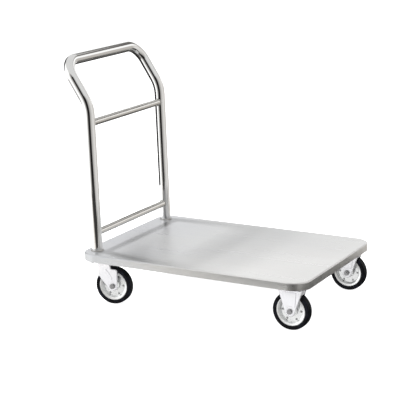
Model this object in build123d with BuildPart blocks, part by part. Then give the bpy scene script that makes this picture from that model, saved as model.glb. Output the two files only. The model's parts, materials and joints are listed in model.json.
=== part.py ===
from build123d import *
from math import cos, radians, sin, tan
import os

os.makedirs("parts", exist_ok=True)

# Frame: the floor is z = 0, +X points away from the handle, +Y to the pusher's left.
# The origin is on the floor, below the middle of the whole trolley's box.

# Deck
deck_length = 850.0
deck_width = 600.0
deck_top = 174.5
sheet = 1.5
skirt_depth = 27.5
hem_depth = 8.0
corner_radius = 60.0
deck_edge_radius = 4.0

# Handle
handle_overhang = 90.0
handle_height = 846.0
tube_radius = 19.05
tube_wall = 1.5
upright_inset = 42.0
upright_half_spacing = 241.5
upright_lean = 2.0
lean_bend_height = 682.0
lean_bend_radius = 120.0
top_corner_radius = 64.0
cross_tube_radius = 12.0
cross_tube_wall = 1.2
lower_cross_height = 237.0
upper_cross_height = 620.5
weld_leg = 3.0

# Under-deck frame
member_width = 126.0
member_height = 18.0
member_wall = 2.5
member_inset = 12.0
frame_gap = 3.0
stiffener_width = 40.0
stiffener_wall = 2.0
stiffener_half_spacing = 130.0

# Wheels
wheel_radius = 65.0
tread_half = 14.0
rim_radius = 51.3
bead_radius = 43.5
bead_half = 9.5
disc_sheet = 2.5
dish_radius = 41.0
rivet_circle = 33.0
rivet_radius = 2.5
rivet_head_radius = 3.8
rivet_head_height = 2.2
rivet_count = 6
hub_half = 16.4
hub_radius = 13.0
hub_bore = 9.6
roller_radius = 1.7
roller_circle = 7.8
roller_count = 10
sleeve_radius = 6.0
running_gap = 0.05

# Casters
fork_inner_half = 17.0
fork_sheet = 3.0
fork_outer_half = fork_inner_half + fork_sheet
fork_end_radius = 18.0
axle_radius = 5.0
axle_hex = 16.0
axle_hex_turn = 12.0
axle_head = 6.4
axle_nut_height = 8.0
plate_thickness = 4.0
plate_length = 95.0
rigid_plate_width = 84.0
rigid_plate_corner = 14.0
swivel_plate_width = 61.0
swivel_plate_corner = 12.0
bolt_spacing_x = 75.0
rigid_bolt_spacing_y = 62.0
swivel_bolt_spacing_y = 45.0
rigid_setback = 65.0
rigid_half_track = 242.0
pivot_inset = 88.0
pivot_half_track = 264.0
caster_trail = 33.0
rest_heading = 8.0

# Caster fasteners
bolt_radius = 4.0
bolt_clearance = 0.25
bolt_hex = 13.0
bolt_head = 5.3
nut_height = 6.5
washer_radius = 8.0
washer_height = 1.6
thread_end = 1.4

# Swivel head
crown_sheet = 4.0
crown_radius = 26.5
race_gap = 3.0
ball_radius = 3.0
ball_circle = 22.0
ball_count = 16
lower_ball_radius = 2.5
lower_ball_circle = 11.5
lower_ball_count = 10
ball_sink = 1.5
lower_ball_sink = 1.0
lower_race_radius = 16.0
lower_race_height = 3.5
kingpin_radius = 6.0
crown_clearance = 1.5
kingpin_head_radius = 10.5
kingpin_hex = 19.0
kingpin_nut_height = 6.5
lip_inner_radius = 27.5
lip_outer_radius = 29.5
lip_bottom = 145.5

# Levels and places that follow from the driving dimensions
rear_edge = (handle_overhang - deck_length) / 2
front_edge = rear_edge + deck_length
deck_middle = (rear_edge + front_edge) / 2
deck_under = deck_top - sheet
skirt_bottom = deck_top - skirt_depth
mount_level = deck_under - member_height
plate_bottom = mount_level - plate_thickness
crown_top = plate_bottom - race_gap
crown_bottom = crown_top - crown_sheet
lower_race_top = crown_bottom - race_gap
lower_race_bottom = lower_race_top - lower_race_height
upright_x = rear_edge + upright_inset
bend_x = upright_x - tan(radians(upright_lean)) * (lean_bend_height - deck_top)
bar_x = rear_edge - handle_overhang + tube_radius
bar_z = handle_height - tube_radius
rigid_x = front_edge - rigid_setback
pivot_x = rear_edge + pivot_inset
member_centres = (
    rear_edge + member_inset + member_width / 2,
    front_edge - member_inset - member_width / 2,
)
sides = {"right": -1, "left": 1}


def finish(builder, label):
    """Name a finished piece and write it to its own STEP file."""
    builder.part.label = label
    export_step(builder.part, f"parts/{label}.step")


def upright_at(height):
    """The x of an upright's centre line at a height."""
    return upright_x - tan(radians(upright_lean)) * (height - deck_top)


def heading_vector(heading):
    """The unit vector a wheel rolls along, for a heading in degrees."""
    return Vector(cos(radians(heading)), sin(radians(heading)), 0)


def outward_vector(heading, side):
    """The unit vector along an axle, away from the trolley's centre line."""
    return Vector(-sin(radians(heading)), cos(radians(heading)), 0) * side


def side_plane(centre, heading):
    """Side view of a caster: x along the heading, y up."""
    along = heading_vector(heading)
    return Plane(origin=centre, x_dir=along, z_dir=along.cross(Vector(0, 0, 1)))


def axle_plane(centre, heading, side):
    """Section through an axle: x along the axle and outward, y up."""
    out = outward_vector(heading, side)
    return Plane(origin=centre, x_dir=out, z_dir=out.cross(Vector(0, 0, 1)))


def pivot_plane(centre_x, centre_y, height, heading):
    """Horizontal plane at a height: x along the heading."""
    return Plane(origin=(centre_x, centre_y, height), x_dir=heading_vector(heading), z_dir=(0, 0, 1))


def wheel_places():
    """Name, wheel centre, heading and side of the four wheels."""
    places = []
    for name, side in sides.items():
        places.append((f"front_{name}", Vector(rigid_x, side * rigid_half_track, wheel_radius), 0.0, side))
        pivot = Vector(pivot_x, side * pivot_half_track, wheel_radius)
        centre = pivot + heading_vector(rest_heading) * caster_trail
        places.append((f"rear_{name}", centre, rest_heading, side))
    return places


def make_deck_pan():
    with BuildPart() as deck_pan:
        with BuildSketch(Plane.XY.offset(skirt_bottom)):
            with Locations((deck_middle, 0)):
                RectangleRounded(deck_length, deck_width, corner_radius)
        extrude(amount=skirt_depth)
        fillet(deck_pan.edges().group_by(Axis.Z)[-1], deck_edge_radius)
        offset(amount=-sheet, openings=deck_pan.faces().sort_by(Axis.Z)[0])
        with BuildSketch(Plane.XY.offset(skirt_bottom)):
            with Locations((deck_middle, 0)):
                RectangleRounded(deck_length - 2 * sheet, deck_width - 2 * sheet, corner_radius - sheet)
                RectangleRounded(
                    deck_length - 4 * sheet,
                    deck_width - 4 * sheet,
                    corner_radius - 2 * sheet,
                    mode=Mode.SUBTRACT,
                )
        extrude(amount=hem_depth)
        for side in sides.values():
            with BuildSketch(foot_plane(side)):
                Circle(tube_radius + weld_leg)
            extrude(amount=2 * deck_edge_radius, both=True, mode=Mode.SUBTRACT)
    finish(deck_pan, "deck_pan")


def foot_plane(side):
    """Plane across an upright where it passes the deck's top face."""
    lean = radians(upright_lean)
    return Plane(
        origin=(upright_x, side * upright_half_spacing, deck_top),
        x_dir=(cos(lean), 0, sin(lean)),
        z_dir=(-sin(lean), 0, cos(lean)),
    )


def make_cross_member(label, centre_x, bolt_places):
    inner_length = deck_length - 2 * (sheet + frame_gap)
    inner_width = deck_width - 2 * (sheet + frame_gap)
    with BuildPart() as member:
        with BuildSketch(Plane.XY.offset(mount_level)):
            with Locations((deck_middle, 0)):
                RectangleRounded(inner_length, inner_width, corner_radius - sheet - frame_gap)
            with Locations((centre_x, 0)):
                Rectangle(member_width, deck_width, mode=Mode.INTERSECT)
        extrude(amount=member_height)
        with BuildSketch(Plane.XZ):
            with Locations((centre_x, mount_level + member_height / 2)):
                Rectangle(member_width - 2 * member_wall, member_height - 2 * member_wall)
        extrude(amount=deck_width, both=True, mode=Mode.SUBTRACT)
        with BuildSketch(Plane.XY.offset(mount_level)):
            with Locations(*bolt_places):
                Circle(bolt_radius + bolt_clearance)
        extrude(amount=member_wall, mode=Mode.SUBTRACT)
    finish(member, label)


def make_stiffener(label, centre_y):
    start = member_centres[0] + member_width / 2
    length = member_centres[1] - member_width / 2 - start
    with BuildPart() as stiffener:
        with BuildSketch(Plane.YZ.offset(start)):
            with Locations((centre_y, deck_under - member_height / 2)):
                Rectangle(stiffener_width, member_height)
            with Locations((centre_y, deck_under - (member_height + stiffener_wall) / 2)):
                Rectangle(
                    stiffener_width - 2 * stiffener_wall,
                    member_height - stiffener_wall,
                    mode=Mode.SUBTRACT,
                )
        extrude(amount=length)
    finish(stiffener, label)


def make_handle_tube():
    foot_z = deck_under - 2 * tube_wall
    foot_x = upright_at(foot_z)
    near, far = -upright_half_spacing, upright_half_spacing
    start = Vector(foot_x, near, foot_z)
    corner = Vector(bend_x, near, lean_bend_height)
    with BuildPart() as handle_tube:
        with BuildLine():
            FilletPolyline(
                start,
                corner,
                (bar_x, near, bar_z),
                (bar_x, far, bar_z),
                (bend_x, far, lean_bend_height),
                (foot_x, far, foot_z),
                radius=(lean_bend_radius, top_corner_radius, top_corner_radius, lean_bend_radius),
            )
        with BuildSketch(Plane(origin=start, z_dir=corner - start)):
            Circle(tube_radius)
            Circle(tube_radius - tube_wall, mode=Mode.SUBTRACT)
        sweep()
        split(bisect_by=Plane.XY.offset(deck_under), keep=Keep.TOP)
    finish(handle_tube, "handle_tube")


def make_cross_tube(label, height):
    with BuildPart() as cross_tube:
        with BuildSketch(Plane.XZ):
            with Locations((upright_at(height), height)):
                Circle(cross_tube_radius)
                Circle(cross_tube_radius - cross_tube_wall, mode=Mode.SUBTRACT)
        extrude(amount=upright_half_spacing, both=True)
        for side in sides.values():
            with BuildSketch(foot_plane(side)):
                Circle(tube_radius)
            extrude(amount=handle_height, mode=Mode.SUBTRACT)
    finish(cross_tube, label)


def make_foot_welds():
    with BuildPart() as foot_welds:
        for side in sides.values():
            place = foot_plane(side)
            with BuildSketch(Plane(origin=place.origin, x_dir=place.x_dir, z_dir=(0, -1, 0))):
                with BuildLine():
                    Polyline(
                        (tube_radius, weld_leg),
                        (tube_radius, -sheet),
                        (tube_radius + weld_leg, -sheet),
                        (tube_radius + weld_leg, 0),
                    )
                    Line((tube_radius + weld_leg, 0), (tube_radius, weld_leg))
                make_face()
            revolve(axis=Axis(place.origin, place.z_dir))
        split(bisect_by=Plane.XY.offset(deck_under), keep=Keep.TOP)
    finish(foot_welds, "handle_foot_welds")


def bolt_pattern(centre_x, centre_y, spacing_y):
    """The four bolt places of one caster plate."""
    return [
        (centre_x + along * bolt_spacing_x / 2, centre_y + across * spacing_y / 2)
        for along in (-1, 1)
        for across in (-1, 1)
    ]


def all_bolt_places(front):
    """The eight bolt places on the front or the rear cross member."""
    places = []
    for side in sides.values():
        if front:
            places += bolt_pattern(rigid_x, side * rigid_half_track, rigid_bolt_spacing_y)
        else:
            places += bolt_pattern(pivot_x, side * pivot_half_track, swivel_bolt_spacing_y)
    return places


def make_caster_fasteners():
    places = all_bolt_places(front=True) + all_bolt_places(front=False)
    head_seat = mount_level + member_wall
    nut_top = plate_bottom - washer_height
    shank_end = nut_top - nut_height - thread_end
    with BuildPart() as bolts:
        with BuildSketch(Plane.XY.offset(head_seat)):
            with Locations(*places):
                RegularPolygon(bolt_hex / 2, 6, major_radius=False)
        extrude(amount=bolt_head)
        with BuildSketch(Plane.XY.offset(shank_end)):
            with Locations(*places):
                Circle(bolt_radius)
        extrude(amount=head_seat - shank_end)
    finish(bolts, "caster_bolts")
    with BuildPart() as washers:
        with BuildSketch(Plane.XY.offset(nut_top)):
            with Locations(*places):
                Circle(washer_radius)
                Circle(bolt_radius + bolt_clearance, mode=Mode.SUBTRACT)
        extrude(amount=washer_height)
    finish(washers, "caster_washers")
    with BuildPart() as nuts:
        with BuildSketch(Plane.XY.offset(nut_top - nut_height)):
            with Locations(*places):
                RegularPolygon(bolt_hex / 2, 6, major_radius=False)
                Circle(bolt_radius, mode=Mode.SUBTRACT)
        extrude(amount=nut_height)
    finish(nuts, "caster_nuts")


def make_tyre(name, centre, heading, side):
    """Rubber tyre: a grooved tread, and a bead that the two discs hold between them."""
    groove_width = 1.2
    groove_depth = 0.9
    groove_pitch = 3.4
    crown_fall = 0.6
    shoulder = 4.0
    wall_foot = rim_radius + 2.0
    outline = (
        (bead_half, bead_radius),
        (bead_half, rim_radius),
        (tread_half - 0.8, rim_radius),
        (tread_half, wall_foot),
        (tread_half, wheel_radius - crown_fall),
        (tread_half - 2 * shoulder, wheel_radius),
    )
    corners = (0, 0.5, 1.0, shoulder, 0)
    with BuildPart() as tyre:
        with BuildSketch(axle_plane(centre, heading, side)):
            with BuildLine():
                wall = FilletPolyline(
                    *outline,
                    *[(-along, radius) for along, radius in reversed(outline)],
                    radius=(*corners[:-1], 0, 0, *reversed(corners[:-1])),
                )
                Line(wall @ 1, wall @ 0)
            make_face()
            with Locations(*[(step * groove_pitch, wheel_radius) for step in range(-2, 3)]):
                Rectangle(groove_width, 2 * groove_depth, mode=Mode.SUBTRACT)
        revolve(axis=Axis(centre, outward_vector(heading, side)))
    finish(tyre, f"{name}_tyre")


def make_disc(centre, heading, side, facing):
    """A pressed disc: flat web at the wheel's middle, dished out to the rim that holds the tyre."""
    tyre_gap = 0.1
    press_radius = 2.0
    lip_radius = 0.8
    lip_face = tread_half - 1.0
    rim_base = bead_radius - tyre_gap
    rim_edge = rim_radius - tyre_gap
    base_half = bead_half + tyre_gap
    with BuildPart() as disc:
        with BuildSketch(axle_plane(centre, heading, side)):
            with BuildLine():
                outline = FilletPolyline(
                    (facing * disc_sheet, hub_radius),
                    (facing * disc_sheet, dish_radius - disc_sheet),
                    (facing * (lip_face - 1.0), dish_radius + 1.5),
                    (facing * lip_face, rim_edge - press_radius),
                    (facing * (lip_face - lip_radius), rim_edge),
                    (facing * base_half, rim_edge),
                    (facing * base_half, rim_base),
                    (facing * base_half / 2, rim_base),
                    (0, dish_radius - 1.0),
                    (0, hub_radius),
                    radius=(press_radius, press_radius, lip_radius, 0.3, 0, 0, press_radius, 0),
                )
                Line(outline @ 1, outline @ 0)
            make_face()
        revolve(axis=Axis(centre, outward_vector(heading, side)))
        with BuildSketch(side_plane(centre, heading)):
            with PolarLocations(rivet_circle, rivet_count):
                Circle(rivet_radius + running_gap)
        extrude(amount=wheel_radius, both=True, mode=Mode.SUBTRACT)
    return disc


def make_rivets(name, centre, heading):
    with BuildPart() as rivets:
        with BuildSketch(side_plane(centre, heading)):
            with PolarLocations(rivet_circle, rivet_count):
                Circle(rivet_radius)
        extrude(amount=disc_sheet, both=True)
        for facing in (-1, 1):
            seat = side_plane(centre, heading).offset(facing * disc_sheet)
            with BuildSketch(seat):
                with PolarLocations(rivet_circle, rivet_count):
                    Circle(rivet_head_radius)
            extrude(amount=facing * rivet_head_height, taper=30)
    finish(rivets, f"{name}_wheel_rivets")


def make_hub(name, centre, heading, side):
    flange_radius = 19.0
    flange_face = disc_sheet + 2.5
    collar_start = hub_half - 4.0
    collar_radius = hub_radius + 2.0
    with BuildPart() as hub:
        with BuildSketch(axle_plane(centre, heading, side)):
            with BuildLine():
                outline = FilletPolyline(
                    (-hub_half, hub_bore),
                    (-hub_half, collar_radius),
                    (-collar_start, collar_radius),
                    (-flange_face, flange_radius),
                    (-disc_sheet, flange_radius),
                    (-disc_sheet, hub_radius),
                    (disc_sheet, hub_radius),
                    (disc_sheet, flange_radius),
                    (flange_face, flange_radius),
                    (collar_start, collar_radius),
                    (hub_half, collar_radius),
                    (hub_half, hub_bore),
                    radius=(1.5, 1.5, 0.8, 0, 0, 0, 0, 0.8, 1.5, 1.5),
                )
                Line(outline @ 1, outline @ 0)
            make_face()
        revolve(axis=Axis(centre, outward_vector(heading, side)))
    finish(hub, f"{name}_hub")


def make_rollers(name, centre, heading):
    with BuildPart() as rollers:
        with BuildSketch(side_plane(centre, heading)):
            with PolarLocations(roller_circle, roller_count):
                Circle(roller_radius)
        extrude(amount=hub_half - 2.0, both=True)
    finish(rollers, f"{name}_bearing_rollers")


def make_axle_sleeve(label, centre, heading):
    with BuildPart() as sleeve:
        with BuildSketch(side_plane(centre, heading)):
            Circle(sleeve_radius)
            Circle(axle_radius + running_gap, mode=Mode.SUBTRACT)
        extrude(amount=fork_inner_half, both=True)
    finish(sleeve, label)


def make_axle_bolts(label, places):
    tip = fork_outer_half + axle_nut_height + 2.0
    with BuildPart() as bolts:
        for centre, heading, side in places:
            out = outward_vector(heading, side)
            with BuildSketch(Plane(origin=centre - out * tip, x_dir=heading_vector(heading), z_dir=out)):
                Circle(axle_radius)
            extrude(amount=tip + fork_outer_half)
            with BuildSketch(
                Plane(origin=centre + out * fork_outer_half, x_dir=heading_vector(heading), z_dir=out)
            ):
                RegularPolygon(axle_hex / 2, 6, major_radius=False, rotation=axle_hex_turn)
            extrude(amount=axle_head)
    finish(bolts, label)


def make_axle_nuts(label, places):
    with BuildPart() as nuts:
        for centre, heading, side in places:
            out = outward_vector(heading, side)
            seat = centre - out * fork_outer_half
            with BuildSketch(Plane(origin=seat, x_dir=heading_vector(heading), z_dir=-out)):
                RegularPolygon(axle_hex / 2, 6, major_radius=False)
                Circle(axle_radius, mode=Mode.SUBTRACT)
            extrude(amount=axle_nut_height)
    finish(nuts, label)


def make_caster_plate(label, centre_x, centre_y, width, spacing_y, swivelling):
    plate_corner = swivel_plate_corner if swivelling else rigid_plate_corner
    with BuildPart() as plate:
        with BuildSketch(Plane.XY.offset(plate_bottom)):
            with Locations((centre_x, centre_y)):
                RectangleRounded(plate_length, width, plate_corner)
            with Locations(*bolt_pattern(centre_x, centre_y, spacing_y)):
                Circle(bolt_radius + bolt_clearance, mode=Mode.SUBTRACT)
        extrude(amount=plate_thickness)
        if swivelling:
            with BuildSketch(Plane.XY.offset(lip_bottom)):
                with Locations((centre_x, centre_y)):
                    Circle(lip_outer_radius)
                    Circle(lip_inner_radius, mode=Mode.SUBTRACT)
            extrude(amount=plate_bottom - lip_bottom)
            with Locations((centre_x, centre_y, plate_bottom + ball_sink - ball_radius)):
                Torus(ball_circle, ball_radius + running_gap, mode=Mode.SUBTRACT)
            with BuildSketch(
                Plane(origin=(centre_x, centre_y, plate_bottom), x_dir=(1, 0, 0), z_dir=(0, -1, 0))
            ):
                with BuildLine():
                    Polyline(
                        (0, 0),
                        (kingpin_radius + running_gap, 0),
                        (kingpin_head_radius + running_gap, plate_thickness),
                        (0, plate_thickness),
                        close=True,
                    )
                make_face()
            revolve(axis=Axis((centre_x, centre_y, 0), (0, 0, 1)), mode=Mode.SUBTRACT)
    finish(plate, label)


def side_edges(fork, centre, out, below):
    """The edges of a fork's two outer side faces that lie below a height."""
    faces = fork.faces().sort_by(Axis(centre, out))
    edges = ShapeList([*faces[0].edges(), *faces[-1].edges()])
    return edges.filter_by(lambda edge: edge.center().Z < below)


def make_rigid_fork(name, centre):
    """A pressed hood: two tapering legs joined by webs that arch over the tyre."""
    top_half = 47.0
    edge_radius = 2.5
    arch_radius = wheel_radius + 4.0
    panel_height = 1.2
    panel_bottom, panel_top = 17.0, 66.0
    panel_bottom_half, panel_top_half = 19.0, 23.0
    top = plate_bottom - centre.Z
    rim = 4.0
    with BuildPart() as fork:
        with BuildSketch(side_plane(centre, 0)):
            Circle(fork_end_radius)
            with Locations((0, top - rim / 2)):
                Rectangle(2 * top_half, rim)
            make_hull()
        extrude(amount=fork_outer_half, both=True)
        fillet(side_edges(fork, centre, Vector(0, 1, 0), plate_bottom - 0.1), edge_radius)
        with BuildSketch(side_plane(centre, 0)):
            Circle(fork_end_radius + fork_sheet)
            with Locations((0, top - fork_sheet - rim / 2)):
                Rectangle(2 * (top_half - fork_sheet), rim)
            make_hull()
            with Locations((0, -wheel_radius)):
                Rectangle(3 * wheel_radius, 2 * wheel_radius)
            Circle(arch_radius)
        extrude(amount=fork_inner_half, both=True, mode=Mode.SUBTRACT)
        for facing in (-1, 1):
            with BuildSketch(side_plane(centre, 0).offset(facing * fork_outer_half)):
                with BuildLine():
                    FilletPolyline(
                        (-panel_bottom_half, panel_bottom),
                        (panel_bottom_half, panel_bottom),
                        (panel_top_half, panel_top),
                        (-panel_top_half, panel_top),
                        radius=edge_radius * 2,
                        close=True,
                    )
                make_face()
            extrude(amount=facing * panel_height, taper=45)
        with BuildSketch(side_plane(centre, 0)):
            Circle(axle_radius + running_gap)
        extrude(amount=fork_outer_half + panel_height, both=True, mode=Mode.SUBTRACT)
    finish(fork, f"front_{name}_rigid_fork")


def make_swivel_fork(name, pivot, side):
    """Crown with its ball tracks, and two legs swept back to the axle."""
    edge_radius = 2.5
    crown_back, crown_front = -22.0, 20.0
    shoulder_radius = 7.5
    shoulder_height = 53.0
    rib_height = 1.2
    rib_half = 5.0
    heel_radius = 7.0
    heel_back, heel_height = -13.0, 38.0
    axle = pivot + heading_vector(rest_heading) * caster_trail
    out = outward_vector(rest_heading, side)
    view = side_plane(pivot, rest_heading)
    crown_centre = (crown_back + crown_front) / 2, crown_bottom - pivot.Z + crown_sheet / 2
    with BuildPart() as fork:
        with BuildSketch(view):
            with Locations((caster_trail, 0)):
                Circle(fork_end_radius)
            with Locations((heel_back, heel_height)):
                Circle(heel_radius)
            with Locations(crown_centre):
                Rectangle(crown_front - crown_back, crown_sheet)
            make_hull()
        extrude(amount=fork_outer_half, both=True)
        with BuildSketch(view):
            with Locations((caster_trail, 0)):
                Circle(fork_end_radius)
            with Locations(
                (caster_trail + fork_end_radius - shoulder_radius, shoulder_height),
                (shoulder_radius, shoulder_height),
            ):
                Circle(shoulder_radius)
            make_hull()
        extrude(amount=fork_outer_half, both=True)
        fillet(side_edges(fork, pivot, out, crown_bottom + crown_sheet / 2), edge_radius)
        with BuildSketch(view):
            with Locations((0, crown_bottom - pivot.Z - wheel_radius)):
                Rectangle(4 * wheel_radius, 2 * wheel_radius)
        extrude(amount=fork_inner_half, both=True, mode=Mode.SUBTRACT)
        split(bisect_by=Plane.XY.offset(crown_bottom), keep=Keep.BOTTOM)
        with BuildSketch(pivot_plane(pivot.X, pivot.Y, crown_bottom, rest_heading)):
            Circle(crown_radius)
        extrude(amount=crown_sheet)
        for facing in (-1, 1):
            with BuildSketch(view.offset(facing * fork_outer_half)):
                with Locations(
                    (caster_trail - rib_half, fork_end_radius + 2 * rib_half),
                    (crown_front / 2, shoulder_height),
                ):
                    Circle(rib_half)
                make_hull()
            extrude(amount=facing * rib_height, taper=45)
        with BuildSketch(view):
            with Locations((caster_trail, 0)):
                Circle(axle_radius + running_gap)
        extrude(amount=fork_outer_half, both=True, mode=Mode.SUBTRACT)
        with BuildSketch(pivot_plane(pivot.X, pivot.Y, crown_bottom, rest_heading)):
            Circle(kingpin_radius + crown_clearance)
        extrude(amount=crown_sheet, mode=Mode.SUBTRACT)
        with Locations((pivot.X, pivot.Y, crown_top - ball_sink + ball_radius)):
            Torus(ball_circle, ball_radius + running_gap, mode=Mode.SUBTRACT)
        with Locations((pivot.X, pivot.Y, crown_bottom + lower_ball_sink - lower_ball_radius)):
            Torus(lower_ball_circle, lower_ball_radius + running_gap, mode=Mode.SUBTRACT)
    finish(fork, f"rear_{name}_swivel_fork")
    return axle


def make_swivel_balls(name, pivot):
    upper = pivot_plane(pivot.X, pivot.Y, crown_top - ball_sink + ball_radius, rest_heading)
    lower = pivot_plane(pivot.X, pivot.Y, crown_bottom + lower_ball_sink - lower_ball_radius, rest_heading)
    with BuildPart() as balls:
        with Locations(upper):
            with PolarLocations(ball_circle, ball_count):
                Sphere(ball_radius)
        with Locations(lower):
            with PolarLocations(lower_ball_circle, lower_ball_count):
                Sphere(lower_ball_radius)
    finish(balls, f"rear_{name}_swivel_balls")


def make_lower_race(name, pivot):
    with BuildPart() as race:
        with BuildSketch(Plane.XY.offset(lower_race_bottom)):
            with Locations((pivot.X, pivot.Y)):
                Circle(lower_race_radius)
                Circle(kingpin_radius + running_gap, mode=Mode.SUBTRACT)
        extrude(amount=lower_race_height)
        with Locations((pivot.X, pivot.Y, crown_bottom + lower_ball_sink - lower_ball_radius)):
            Torus(lower_ball_circle, lower_ball_radius + running_gap, mode=Mode.SUBTRACT)
    finish(race, f"rear_{name}_lower_race")


def make_kingpins():
    tip = lower_race_bottom - kingpin_nut_height - thread_end
    with BuildPart() as kingpins:
        for side in sides.values():
            origin = Vector(pivot_x, side * pivot_half_track, 0)
            with BuildSketch(Plane(origin=origin, x_dir=(1, 0, 0), z_dir=(0, -1, 0))):
                with BuildLine():
                    Polyline(
                        (0, tip),
                        (kingpin_radius, tip),
                        (kingpin_radius, plate_bottom),
                        (kingpin_head_radius, mount_level),
                        (0, mount_level),
                        close=True,
                    )
                make_face()
            revolve(axis=Axis(origin, (0, 0, 1)))
    finish(kingpins, "swivel_kingpins")
    with BuildPart() as nuts:
        with BuildSketch(Plane.XY.offset(lower_race_bottom - kingpin_nut_height)):
            with Locations(*[(pivot_x, side * pivot_half_track) for side in sides.values()]):
                RegularPolygon(kingpin_hex / 2, 6, major_radius=False)
                Circle(kingpin_radius, mode=Mode.SUBTRACT)
        extrude(amount=kingpin_nut_height)
    finish(nuts, "swivel_kingpin_nuts")


def make_wheel(name, centre, heading, side):
    make_tyre(name, centre, heading, side)
    finish(make_disc(centre, heading, side, 1), f"{name}_outer_disc")
    finish(make_disc(centre, heading, side, -1), f"{name}_inner_disc")
    make_rivets(name, centre, heading)
    make_hub(name, centre, heading, side)
    make_rollers(name, centre, heading)


make_deck_pan()
make_cross_member("front_cross_member", member_centres[1], all_bolt_places(front=True))
make_cross_member("rear_cross_member", member_centres[0], all_bolt_places(front=False))
for side_name, side_sign in sides.items():
    make_stiffener(f"{side_name}_stiffener", side_sign * stiffener_half_spacing)
make_handle_tube()
make_cross_tube("lower_cross_tube", lower_cross_height)
make_cross_tube("upper_cross_tube", upper_cross_height)
make_foot_welds()
make_caster_fasteners()

rigid_axles = []
for side_name, side_sign in sides.items():
    rigid_centre = Vector(rigid_x, side_sign * rigid_half_track, wheel_radius)
    make_caster_plate(
        f"front_{side_name}_rigid_plate",
        rigid_x,
        side_sign * rigid_half_track,
        rigid_plate_width,
        rigid_bolt_spacing_y,
        swivelling=False,
    )
    make_rigid_fork(side_name, rigid_centre)
    make_axle_sleeve(f"front_{side_name}_axle_sleeve", rigid_centre, 0.0)
    rigid_axles.append((rigid_centre, 0.0, side_sign))
make_axle_bolts("rigid_axle_bolts", rigid_axles)
make_axle_nuts("rigid_axle_nuts", rigid_axles)

for side_name, side_sign in sides.items():
    pivot_centre = Vector(pivot_x, side_sign * pivot_half_track, wheel_radius)
    make_caster_plate(
        f"rear_{side_name}_swivel_plate",
        pivot_x,
        side_sign * pivot_half_track,
        swivel_plate_width,
        swivel_bolt_spacing_y,
        swivelling=True,
    )
    make_lower_race(side_name, pivot_centre)
    make_swivel_balls(side_name, pivot_centre)
    swivel_axle = make_swivel_fork(side_name, pivot_centre, side_sign)
    make_axle_sleeve(f"rear_{side_name}_axle_sleeve", swivel_axle, rest_heading)
    make_axle_bolts(f"rear_{side_name}_axle_bolt", [(swivel_axle, rest_heading, side_sign)])
    make_axle_nuts(f"rear_{side_name}_axle_nut", [(swivel_axle, rest_heading, side_sign)])
make_kingpins()

for wheel_name, wheel_centre, wheel_heading, wheel_side in wheel_places():
    make_wheel(wheel_name, wheel_centre, wheel_heading, wheel_side)
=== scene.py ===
"""Flat-bed luggage trolley: the looks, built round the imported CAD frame.

Metres. The floor is z = 0, +X points away from the handle, +Y to the pusher's left.
"""

import json
import math
import random

import bmesh
import bpy
from mathutils import Matrix, Vector


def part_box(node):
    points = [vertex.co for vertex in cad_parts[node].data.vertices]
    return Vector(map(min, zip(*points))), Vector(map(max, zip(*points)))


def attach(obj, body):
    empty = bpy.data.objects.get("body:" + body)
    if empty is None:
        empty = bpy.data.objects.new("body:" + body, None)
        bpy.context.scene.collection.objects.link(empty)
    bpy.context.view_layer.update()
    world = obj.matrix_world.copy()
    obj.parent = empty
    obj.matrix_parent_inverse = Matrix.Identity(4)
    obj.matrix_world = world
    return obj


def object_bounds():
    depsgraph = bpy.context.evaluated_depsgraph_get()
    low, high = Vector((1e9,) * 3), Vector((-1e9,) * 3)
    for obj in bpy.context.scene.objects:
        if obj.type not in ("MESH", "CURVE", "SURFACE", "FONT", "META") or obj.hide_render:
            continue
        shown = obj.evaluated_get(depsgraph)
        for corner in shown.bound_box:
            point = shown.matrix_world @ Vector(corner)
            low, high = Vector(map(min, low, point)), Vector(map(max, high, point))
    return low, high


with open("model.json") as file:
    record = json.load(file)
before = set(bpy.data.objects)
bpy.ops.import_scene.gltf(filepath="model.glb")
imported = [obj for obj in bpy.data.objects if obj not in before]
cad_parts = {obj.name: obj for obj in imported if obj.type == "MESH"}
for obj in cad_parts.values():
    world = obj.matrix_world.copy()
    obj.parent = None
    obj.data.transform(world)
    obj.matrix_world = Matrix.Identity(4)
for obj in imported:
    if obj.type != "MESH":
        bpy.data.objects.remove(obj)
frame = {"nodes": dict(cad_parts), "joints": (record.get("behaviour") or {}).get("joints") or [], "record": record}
cad_low, cad_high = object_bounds()
nodes = frame["nodes"]
slot_of = {part["node"]: part["material_slot"] for part in frame["record"]["subparts"]}
joints = {joint["name"]: joint for joint in frame["joints"]}
corner_names = ("front_right", "front_left", "rear_right", "rear_left")

# Camera, fitted to the photograph's perspective
camera_azimuth = math.radians(28.26)
camera_elevation = math.radians(13.77)
camera_roll = math.radians(-0.66)
camera_lens = 125.88
camera_place = Vector((2.1934, -4.1933, 1.4965))

# Deck and handle
deck_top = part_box("deck_pan")[1].z
tube_radius = 0.01905
upright_lean = math.radians(2.0)
upright_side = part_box("handle_tube")[1].y - tube_radius

# Weld beads
bead_sides = 12
points_per_ripple = 5
weld_ripple = 0.0017
ring_bead_radius = 0.0019
stiffener_bead_radius = 0.0018
stiffener_bead_margin = 0.001
foot_bead_offset = 0.0014
foot_bead_rise = 0.0012

# Studio
floor_size = 80
key_offset = 2.2
key_side = 0.1
key_height = 2.9
key_size = 0.5
key_power = 215
dark = 0.015

# The studio's screens round the trolley: (degrees from +X, brightness, warmth)
screens_all_round = [
    (-124, 1.5, 0.0),
    (-110, 1.0, 0.0),
    (-94, 0.40, 0.05),
    (-80, dark, 0.0),
    (-48, dark, 0.0),
    (-38, 0.45, 0.03),
    (0, 0.80, 0.02),
    (36, 0.90, 0.02),
    (52, 0.60, 0.05),
    (72, 0.60, 0.05),
    (88, 0.90, 0.02),
    (110, 1.0, 0.0),
]
low_corner = [(150, 1.2, 0.0)]
high_corner = [(138, 1.0, 0.0), (144, dark, 0.0), (172, dark, 0.0), (178, 1.2, 0.0)]


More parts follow.
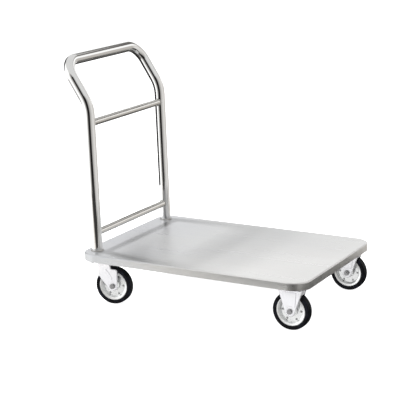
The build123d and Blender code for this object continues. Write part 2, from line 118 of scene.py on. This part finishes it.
# ---------------------------------------------------------------- node helpers


def add(tree, kind, **settings):
    """A new node with its settings."""
    node = tree.nodes.new(kind)
    for key, value in settings.items():
        setattr(node, key, value)
    return node


def feed(tree, target, value):
    """Gives an input a constant, or links an output to it."""
    if isinstance(value, bpy.types.NodeSocket):
        tree.links.new(value, target)
    else:
        target.default_value = value


def math_node(tree, operation, *values):
    node = add(tree, "ShaderNodeMath", operation=operation)
    for socket, value in zip(node.inputs, values):
        feed(tree, socket, value)
    return node.outputs[0]


def plus(tree, first, second):
    return math_node(tree, "ADD", first, second)


def minus(tree, first, second):
    return math_node(tree, "SUBTRACT", first, second)


def times(tree, first, second):
    return math_node(tree, "MULTIPLY", first, second)


def mapped(tree, scale=(1, 1, 1), shift=(0, 0, 0), turn=(0, 0, 0)):
    """Object coordinates, in metres, shifted, turned and then scaled."""
    vector = add(tree, "ShaderNodeTexCoord").outputs["Object"]
    for setting, value in (("Location", shift), ("Rotation", turn), ("Scale", scale)):
        step = add(tree, "ShaderNodeMapping", vector_type="POINT")
        feed(tree, step.inputs["Vector"], vector)
        step.inputs[setting].default_value = value
        vector = step.outputs[0]
    return vector


def separate(tree, vector):
    """A vector's x, y and z."""
    split = add(tree, "ShaderNodeSeparateXYZ")
    feed(tree, split.inputs[0], vector)
    return split.outputs


def along_x(tree, value):
    """A vector with a value as its x."""
    row = add(tree, "ShaderNodeCombineXYZ")
    feed(tree, row.inputs["X"], value)
    return row.outputs[0]


def noise(tree, vector, scale=1.0, detail=3.0):
    node = add(tree, "ShaderNodeTexNoise")
    feed(tree, node.inputs["Vector"], vector)
    node.inputs["Scale"].default_value = scale
    node.inputs["Detail"].default_value = detail
    node.inputs["Roughness"].default_value = 0.55
    return node.outputs["Fac"]


def spread(tree, value, low, high, to_low=0.0, to_high=1.0):
    """Maps low..high to to_low..to_high, held at the ends."""
    node = add(tree, "ShaderNodeMapRange")
    feed(tree, node.inputs["Value"], value)
    feed(tree, node.inputs["From Min"], low)
    feed(tree, node.inputs["From Max"], high)
    feed(tree, node.inputs["To Min"], to_low)
    feed(tree, node.inputs["To Max"], to_high)
    return node.outputs[0]


def close_to(tree, value, centre, full, none):
    """1 up to `full` away from a centre, fading to 0 at `none` away from it."""
    distance = math_node(tree, "ABSOLUTE", minus(tree, value, centre))
    return spread(tree, distance, full, none, 1.0, 0.0)


def blend(tree, amount, first, second, mode="MIX"):
    node = add(tree, "ShaderNodeMix", data_type="RGBA", blend_type=mode)
    feed(tree, node.inputs["Factor"], amount)
    feed(tree, node.inputs[6], first)
    feed(tree, node.inputs[7], second)
    return node.outputs[2]


def ramp(tree, value, stops):
    """A colour ramp: a list of (place, colour)."""
    node = add(tree, "ShaderNodeValToRGB")
    elements = node.color_ramp.elements
    while len(elements) < len(stops):
        elements.new(0.5)
    for element, (place, colour) in zip(elements, stops):
        element.position = place
        element.color = colour
    feed(tree, node.inputs["Fac"], value)
    return node.outputs["Color"]


def rgb(red, green, blue):
    return (red, green, blue, 1.0)


def grey(level, warm=0.0):
    return rgb(level * (1 + warm), level, level * (1 - warm))


def shaded_and_grimed(tree, base, reach, closed, open_air, most, level):
    """A colour darkened where two faces meet, by painted shade and grime from ambient occlusion, spreading `reach`
    from the corner.
    """
    occlusion = add(tree, "ShaderNodeAmbientOcclusion", samples=4)
    occlusion.inputs["Distance"].default_value = reach
    shade_and_grime = spread(tree, occlusion.outputs["AO"], closed, open_air, most, 0.0)
    return blend(tree, shade_and_grime, base, grey(level))


def start_material(name, metallic=0.0):
    material = bpy.data.materials.new(name)
    material.use_nodes = True
    tree = material.node_tree
    shader = tree.nodes["Principled BSDF"]
    shader.inputs["Metallic"].default_value = metallic
    return material, tree, shader


def dress(tree, shader, base, roughness, relief, depth):
    """Gives a surface its colour, its roughness and a bump of `relief`, `depth` metres high."""
    feed(tree, shader.inputs["Base Color"], base)
    feed(tree, shader.inputs["Roughness"], roughness)
    bump = add(tree, "ShaderNodeBump")
    feed(tree, bump.inputs["Height"], relief)
    bump.inputs["Distance"].default_value = depth
    feed(tree, shader.inputs["Normal"], bump.outputs["Normal"])


# ---------------------------------------------------------------- materials


def brushed_deck():
    """Stainless sheet brushed along the deck: greyer at the rear in painted shade under the handle, paler at the
    near front in painted light, its top face painted darker than the skirt.
    """
    material, tree, shader = start_material("brushed_stainless")
    fine = noise(tree, mapped(tree, (9, 1300, 1300)), detail=4)
    broad = noise(tree, mapped(tree, (1.6, 90, 90)))
    cloud = noise(tree, mapped(tree, (3.0, 5.0, 5.0)))
    scratches = noise(tree, mapped(tree, (14, 900, 900), turn=(0, 0, 0.06)), detail=1)
    x, y, z = separate(tree, mapped(tree))

    streaks = spread(tree, plus(tree, fine, broad), 0.7, 1.3)
    base = blend(tree, streaks, rgb(0.60, 0.61, 0.62), rgb(0.76, 0.76, 0.74))
    base = blend(tree, spread(tree, cloud, 0.4, 0.75, 0.0, 0.5), base, rgb(0.69, 0.70, 0.68))
    scratched = times(tree, spread(tree, scratches, 0.70, 0.78), 0.5)
    base = blend(tree, scratched, base, rgb(0.86, 0.86, 0.85))

    along_deck = plus(tree, x, times(tree, cloud, 0.16))
    # Painted shade under the handle: the rear of the deck greyer and bluer
    rear = spread(tree, along_deck, -0.34, 0.02, 0.7, 0.0)
    base = blend(tree, rear, base, rgb(0.80, 0.81, 0.86), "MULTIPLY")
    # Painted light: the deck paler towards the near front corner
    towards_corner = minus(tree, along_deck, times(tree, y, 0.6))
    painted_front_light = spread(tree, towards_corner, 0.10, 0.5, 0.0, 0.85)
    base = blend(tree, painted_front_light, base, rgb(0.93, 0.925, 0.90))

    # The loading face is duller than the skirt, and its colour is painted darker than the skirt's as painted shade
    top = spread(tree, z, deck_top - 0.006, deck_top - 0.002)
    base = blend(tree, top, base, rgb(0.76, 0.76, 0.77), "MULTIPLY")
    feed(tree, shader.inputs["Metallic"], spread(tree, top, 0.0, 1.0, 0.96, 0.68))

    dress(tree, shader, base, spread(tree, broad, 0.3, 0.7, 0.27, 0.38), fine, 0.00006)
    shader.inputs["Anisotropic"].default_value = 0.6
    feed(tree, shader.inputs["Tangent"], along_x(tree, 1.0))
    return material


def polished_tube():
    """Mirror-polished stainless tube: faint swirl marks and a few handling smears."""
    material, tree, shader = start_material("polished_stainless", 1.0)
    smear = noise(tree, mapped(tree, (14, 14, 9)), detail=4)
    swirl = noise(tree, mapped(tree, (260, 260, 90)))
    base = blend(tree, smear, rgb(0.74, 0.74, 0.73), rgb(0.84, 0.84, 0.83))
    dress(tree, shader, base, spread(tree, smear, 0.35, 0.75, 0.045, 0.12), swirl, 0.00002)
    return material


def satin_tube():
    """Stainless tube ground round its girth: fine rings along its length."""
    material, tree, shader = start_material("satin_stainless", 1.0)
    rings = noise(tree, mapped(tree, (12, 1500, 12)))
    bands = noise(tree, mapped(tree, (4, 14, 4)))
    base = blend(tree, rings, rgb(0.70, 0.69, 0.66), rgb(0.80, 0.79, 0.76))
    base = blend(tree, spread(tree, bands, 0.4, 0.7, 0.0, 0.5), base, rgb(0.74, 0.73, 0.71))
    dress(tree, shader, base, spread(tree, bands, 0.3, 0.7, 0.16, 0.24), rings, 0.00005)
    return material


def weld_metal():
    """Dressed weld: duller, mottled, faintly straw-coloured in places."""
    material, tree, shader = start_material("weld_metal", 1.0)
    mottle = noise(tree, mapped(tree, (160, 160, 160)), detail=5)
    heat = noise(tree, mapped(tree, (45, 45, 45)), detail=2)
    base = blend(tree, mottle, rgb(0.44, 0.44, 0.43), rgb(0.66, 0.65, 0.63))
    base = blend(tree, spread(tree, heat, 0.5, 0.75, 0.0, 0.35), base, rgb(0.50, 0.46, 0.40))
    dress(tree, shader, base, spread(tree, mottle, 0.3, 0.7, 0.28, 0.5), mottle, 0.0004)
    return material


def frame_steel():
    """Mill-finish box section under the deck: dull, with rolling streaks and a little dust."""
    material, tree, shader = start_material("frame_steel", 0.9)
    streak = noise(tree, mapped(tree, (120, 4, 120)), detail=4)
    dust = noise(tree, mapped(tree, (20, 20, 20)), detail=5)
    base = blend(tree, streak, rgb(0.44, 0.44, 0.44), rgb(0.62, 0.62, 0.61))
    base = blend(tree, spread(tree, dust, 0.5, 0.8, 0.0, 0.5), base, rgb(0.42, 0.40, 0.37))
    dress(tree, shader, base, spread(tree, dust, 0.3, 0.7, 0.38, 0.6), streak, 0.0001)
    return material


def zinc(name, light, deep, smooth, rough, metallic=0.6):
    """Zinc plate: a soft mottle from deep to light, fine die marks, and painted shade with grime in the corners.
    """
    material, tree, shader = start_material(name, metallic)
    mottle = noise(tree, mapped(tree, (70, 70, 70)), detail=4)
    marks = noise(tree, mapped(tree, (700, 700, 160)))
    # Painted shade and grime: the colour darker where faces meet, from ambient occlusion
    base = shaded_and_grimed(tree, blend(tree, mottle, deep, light), 0.006, 0.25, 0.8, 0.55, 0.30)
    dress(tree, shader, base, spread(tree, mottle, 0.3, 0.7, smooth, rough), marks, 0.00004)
    return material


def spun_zinc(corner):
    """Bright zinc plate on a pressed wheel disc: faint turning rings round its own axle."""
    material, tree, shader = start_material(f"{corner}_spun_zinc", 0.7)
    low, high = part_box(f"{corner}_hub")
    axle = (low + high) / 2
    axis = Vector(joints[f"{corner}_wheel_spin"]["axis"])
    heading = math.atan2(-axis.x, axis.y)
    ahead, _, up = separate(tree, mapped(tree, shift=tuple(-axle), turn=(0, 0, -heading)))
    squares = plus(tree, math_node(tree, "POWER", ahead, 2.0), math_node(tree, "POWER", up, 2.0))
    rings = noise(tree, along_x(tree, math_node(tree, "SQRT", squares)), scale=1400)
    mottle = noise(tree, mapped(tree, (60, 60, 60)), detail=4)
    base = blend(tree, rings, rgb(0.84, 0.85, 0.85), rgb(0.95, 0.96, 0.95))
    base = blend(tree, spread(tree, mottle, 0.45, 0.8, 0.0, 0.5), base, rgb(0.84, 0.84, 0.87))
    # Painted shade and grime: the disc darker where faces meet, from ambient occlusion
    base = shaded_and_grimed(tree, base, 0.005, 0.2, 0.75, 0.5, 0.32)
    dress(tree, shader, base, spread(tree, mottle, 0.3, 0.7, 0.13, 0.22), rings, 0.00003)
    return material


def bearing_steel():
    """Ground steel with a smear of grease."""
    material, tree, shader = start_material("bearing_steel", 1.0)
    grease = noise(tree, mapped(tree, (220, 220, 220)), detail=4)
    smeared = spread(tree, grease, 0.45, 0.7)
    base = blend(tree, smeared, rgb(0.66, 0.66, 0.67), rgb(0.30, 0.24, 0.15))
    dress(tree, shader, base, spread(tree, grease, 0.3, 0.7, 0.12, 0.35), grease, 0.00005)
    return material


def tyre_rubber():
    """Black rubber, slightly blue where it is scuffed, with a fine moulded grain."""
    material, tree, shader = start_material("tyre_rubber")
    scuff = noise(tree, mapped(tree, (60, 60, 60)), detail=5)
    grain = noise(tree, mapped(tree, (1800, 1800, 1800)))
    scuffed = spread(tree, scuff, 0.45, 0.75)
    base = blend(tree, scuffed, rgb(0.002, 0.002, 0.003), rgb(0.010, 0.013, 0.022))
    dress(tree, shader, base, spread(tree, scuff, 0.3, 0.7, 0.42, 0.6), grain, 0.00008)
    shader.inputs["Specular IOR Level"].default_value = 0.14
    return material


materials = {
    "brushed_stainless": brushed_deck(),
    "polished_stainless": polished_tube(),
    "satin_stainless": satin_tube(),
    "weld_metal": weld_metal(),
    "frame_steel": frame_steel(),
    "zinc_fork": zinc("zinc_fork", rgb(0.96, 0.96, 0.97), rgb(0.88, 0.88, 0.92), 0.14, 0.24),
    "zinc_disc": zinc("zinc_disc", rgb(0.95, 0.96, 0.95), rgb(0.86, 0.87, 0.87), 0.14, 0.24),
    "zinc_fastener": zinc("zinc_fastener", grey(0.50), rgb(0.30, 0.30, 0.31), 0.22, 0.38, 0.9),
    "bearing_steel": bearing_steel(),
    "tyre_rubber": tyre_rubber(),
}

for node_name, node in nodes.items():
    node.data.materials.clear()
    node.data.materials.append(materials[slot_of[node_name]])
for corner in corner_names:
    disc_material = spun_zinc(corner)
    for disc_name in (f"{corner}_outer_disc", f"{corner}_inner_disc"):
        nodes[disc_name].data.materials[0] = disc_material


# ---------------------------------------------------------------- welds


def make_tube(name, path, radii, closed):
    """A mesh tube along a path, with its own radius at each point and caps if it is open."""
    mesh = bmesh.new()
    count = len(path)
    off_path = Vector((0.3, 0.2, 0.93))
    rings = []
    for index, (point, radius) in enumerate(zip(path, radii)):
        before = path[index - 1] if closed or index > 0 else point
        after = path[(index + 1) % count] if closed or index < count - 1 else point
        along = (after - before).normalized()
        across = along.cross(off_path).normalized()
        third = along.cross(across)
        ring = []
        for step in range(bead_sides):
            angle = 2 * math.pi * step / bead_sides
            spoke = across * math.cos(angle) + third * math.sin(angle)
            ring.append(mesh.verts.new(point + spoke * radius))
        rings.append(ring)
    last = count if closed else count - 1
    for index in range(last):
        first, second = rings[index], rings[(index + 1) % count]
        for step in range(bead_sides):
            following = (step + 1) % bead_sides
            mesh.faces.new((first[step], first[following], second[following], second[step]))
    if not closed:
        mesh.faces.new(list(reversed(rings[0])))
        mesh.faces.new(rings[-1])
    bmesh.ops.recalc_face_normals(mesh, faces=mesh.faces)
    for face in mesh.faces:
        face.smooth = True
    data = bpy.data.meshes.new(name)
    mesh.to_mesh(data)
    mesh.free()
    data.materials.append(materials["weld_metal"])
    piece = bpy.data.objects.new(name, data)
    bpy.context.scene.collection.objects.link(piece)
    return piece


def make_weld(name, path, radius, closed):
    """A rippled weld bead on the platform body, thinning at its ends if it is open."""
    length = sum((path[i] - path[i - 1]).length for i in range(1, len(path)))
    ripples = max(4, round(length / weld_ripple))
    radii = []
    for index in range(len(path)):
        phase = (index / len(path) * ripples) % 1.0
        size = radius * (0.86 + 0.2 * math.sqrt(1 - phase) + random.uniform(-0.03, 0.03))
        if not closed:
            size *= min(1.0, 0.35 + 6 * min(index, len(path) - 1 - index) / len(path))
        radii.append(size)
    piece = make_tube(name, path, radii, closed)
    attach(piece, "platform")


def ring_steps(radius):
    """The angles round a ring of weld, from +X."""
    count = round(2 * math.pi * radius / weld_ripple) * points_per_ripple
    return [2 * math.pi * index / count for index in range(count)]


def make_cross_tube_welds():
    """A bead at each end of both cross tubes, following the upright's round side."""
    for tube in ("lower_cross_tube", "upper_cross_tube"):
        low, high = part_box(tube)
        middle = (low + high) / 2
        radius = (high.x - low.x) / 2
        for side_name, side in (("right", -1), ("left", 1)):
            path = []
            for angle in ring_steps(radius):
                ahead = radius * math.cos(angle)
                up = radius * math.sin(angle)
                off_axis = ahead * math.cos(upright_lean) + up * math.sin(upright_lean)
                reach = upright_side - math.sqrt(tube_radius**2 - off_axis**2)
                path.append(Vector((middle.x + ahead, side * reach, middle.z + up)))
            make_weld(f"{tube}_{side_name}_weld", path, ring_bead_radius, True)


def make_foot_weld_beads():
    """A bead round each upright where it meets the deck."""
    low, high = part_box("handle_foot_welds")
    middle_x = (low.x + high.x) / 2
    circle = tube_radius + foot_bead_offset
    for side_name, side in (("right", -1), ("left", 1)):
        path = []
        for angle in ring_steps(circle):
            ahead = circle * math.cos(angle)
            beside = circle * math.sin(angle)
            height = deck_top + foot_bead_rise + ahead * math.sin(upright_lean)
            path.append(Vector((middle_x + ahead, side * upright_side + beside, height)))
        make_weld(f"{side_name}_foot_weld_bead", path, ring_bead_radius, True)


def make_stiffener_welds():
    """An upright bead on both edges of each end of the stiffeners."""
    for side_name in ("right", "left"):
        low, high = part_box(f"{side_name}_stiffener")
        count = round((high.z - low.z) / weld_ripple) * points_per_ripple
        rise = high.z - low.z - 2 * stiffener_bead_margin
        for end_name, end_x in (("rear", low.x), ("front", high.x)):
            for edge_name, edge_y in (("inner", low.y), ("outer", high.y)):
                path = []
                for index in range(count):
                    height = low.z + stiffener_bead_margin + rise * index / (count - 1)
                    path.append(Vector((end_x, edge_y, height)))
                name = f"{side_name}_stiffener_{end_name}_{edge_name}_weld"
                make_weld(name, path, stiffener_bead_radius, False)


random.seed(12)
make_cross_tube_welds()
make_foot_weld_beads()
make_stiffener_welds()


# ---------------------------------------------------------------- floor, light, camera


def make_floor():
    """Pale paper that doesn't show in the metal."""
    bpy.ops.mesh.primitive_plane_add(size=floor_size)
    floor = bpy.context.object
    floor.name = "floor"
    material, tree, shader = start_material("floor_paper")
    paper = noise(tree, mapped(tree, (2, 2, 2)), detail=5)
    feed(tree, shader.inputs["Base Color"], blend(tree, paper, grey(0.50), grey(0.56)))
    shader.inputs["Roughness"].default_value = 0.9
    shader.inputs["Emission Color"].default_value = grey(1.0)
    shader.inputs["Emission Strength"].default_value = 0.95
    floor.data.materials.append(material)
    floor.visible_glossy = False


def make_world():
    """A white studio with grey and dark screens round it, which polished metal shows as stripes."""
    world = bpy.data.worlds.new("studio")
    bpy.context.scene.world = world
    world.use_nodes = True
    tree = world.node_tree
    tree.nodes.clear()
    x, y, z = separate(tree, add(tree, "ShaderNodeTexCoord").outputs["Generated"])
    turn = spread(tree, math_node(tree, "ARCTAN2", y, x), -math.pi, math.pi)

    def at(degrees):
        return (degrees + 180.0) / 360.0

    def screens(stops):
        return ramp(tree, turn, [(at(degrees), grey(*levels)) for degrees, *levels in stops])

    low_screens = screens(screens_all_round + low_corner)
    high_screens = screens(screens_all_round + high_corner)
    light = blend(tree, spread(tree, z, -0.16, -0.10), low_screens, high_screens)

    # A bright panel behind the trolley gives its level tubes their white band
    panel_turn = close_to(tree, turn, at(72), 0.05, 0.08)
    panel_height = close_to(tree, z, 0.24, 0.10, 0.16)
    light = blend(tree, times(tree, panel_turn, panel_height), light, grey(1.25))

    # Plain ceiling, crossed by a dark beam, and a dim floor all round
    light = blend(tree, spread(tree, z, 0.45, 0.62), light, grey(0.85))
    beam_height = close_to(tree, z, 0.48, 0.05, 0.09)
    beam_turn = close_to(tree, turn, at(88), 0.07, 0.10)
    light = blend(tree, times(tree, beam_height, beam_turn), light, grey(0.16, 0.04))
    light = blend(tree, spread(tree, z, -0.44, -0.29, 1.0, 0.0), light, grey(0.12, 0.03))

    studio = add(tree, "ShaderNodeBackground")
    feed(tree, studio.inputs["Color"], light)
    studio.inputs["Strength"].default_value = 1.0
    backdrop = add(tree, "ShaderNodeBackground")
    backdrop.inputs["Color"].default_value = grey(1.0)
    mix = add(tree, "ShaderNodeMixShader")
    feed(tree, mix.inputs[0], add(tree, "ShaderNodeLightPath").outputs["Is Camera Ray"])
    feed(tree, mix.inputs[1], studio.outputs[0])
    feed(tree, mix.inputs[2], backdrop.outputs[0])
    out = add(tree, "ShaderNodeOutputWorld")
    feed(tree, out.inputs[0], mix.outputs[0])


def make_screen(name, corners, levels, fade_places=(-1.0, 1.0)):
    """A cloth screen seen only in the metal, fading along the deck between two places."""
    mesh = bpy.data.meshes.new(name)
    mesh.from_pydata(corners, [], [(0, 1, 2, 3)])
    screen = bpy.data.objects.new(name, mesh)
    bpy.context.scene.collection.objects.link(screen)
    material, tree, shader = start_material(name)
    cloth = noise(tree, mapped(tree, (300, 300, 300)))
    x, y, _ = separate(tree, mapped(tree))
    along = minus(tree, x, times(tree, y, 0.46))
    first, last = (grey(level, 0.06) for level in levels)
    base = blend(tree, spread(tree, along, *fade_places), first, last)
    base = blend(tree, times(tree, cloth, 0.1), base, grey(0.0))
    feed(tree, shader.inputs["Base Color"], base)
    shader.inputs["Roughness"].default_value = 1.0
    screen.data.materials.append(material)
    screen.visible_camera = False
    screen.visible_diffuse = False
    screen.visible_shadow = False


def make_key_light():
    """A soft light from behind the handle, aimed at the trolley's middle."""
    target = (cad_low + cad_high) / 2
    place = Vector((target.x - key_offset, key_side, key_height))
    data = bpy.data.lights.new("key", "AREA")
    data.energy = key_power
    data.size = key_size
    lamp = bpy.data.objects.new("key", data)
    lamp.location = place
    lamp.rotation_euler = (target - place).to_track_quat("-Z", "Y").to_euler()
    lamp.visible_glossy = False
    bpy.context.scene.collection.objects.link(lamp)


def make_camera():
    flat = math.cos(camera_elevation)
    across = math.sin(camera_azimuth) * flat
    away = -math.cos(camera_azimuth) * flat
    back = Vector((across, away, math.sin(camera_elevation)))
    right = Vector((math.cos(camera_azimuth), math.sin(camera_azimuth), 0))
    up = back.cross(right)
    turned_right = right * math.cos(camera_roll) + up * math.sin(camera_roll)
    turned_up = up * math.cos(camera_roll) - right * math.sin(camera_roll)
    data = bpy.data.cameras.new("camera")
    data.lens = camera_lens
    data.clip_end = 200
    camera = bpy.data.objects.new("camera", data)
    camera.matrix_world = Matrix((turned_right, turned_up, back)).transposed().to_4x4()
    camera.location = camera_place
    bpy.context.scene.collection.objects.link(camera)
    bpy.context.scene.camera = camera


make_floor()
make_world()
make_screen(
    "rear_screen",
    corners=[(-0.45, 0.16, 0.28), (-0.45, 0.34, 0.28), (-0.62, 0.56, 0.76), (-0.62, 0.03, 0.76)],
    levels=(0.02, 0.02),
)
make_screen(
    "front_screen",
    corners=[(0.5, -0.5, 0.002), (1.3, -0.5, 0.002), (1.3, 0.66, 0.002), (0.5, 0.66, 0.002)],
    levels=(0.015, 0.015),
)
make_screen(
    "near_screen",
    corners=[(-0.44, -0.74, 0.003), (-0.95, -1.9, 0.003), (1.9, -2.3, 0.003), (0.95, -0.74, 0.003)],
    levels=(1.1, 0.012),
    fade_places=(-0.44, 0.36),
)
make_key_light()
make_camera()
bpy.context.scene.view_settings.view_transform = "Standard"
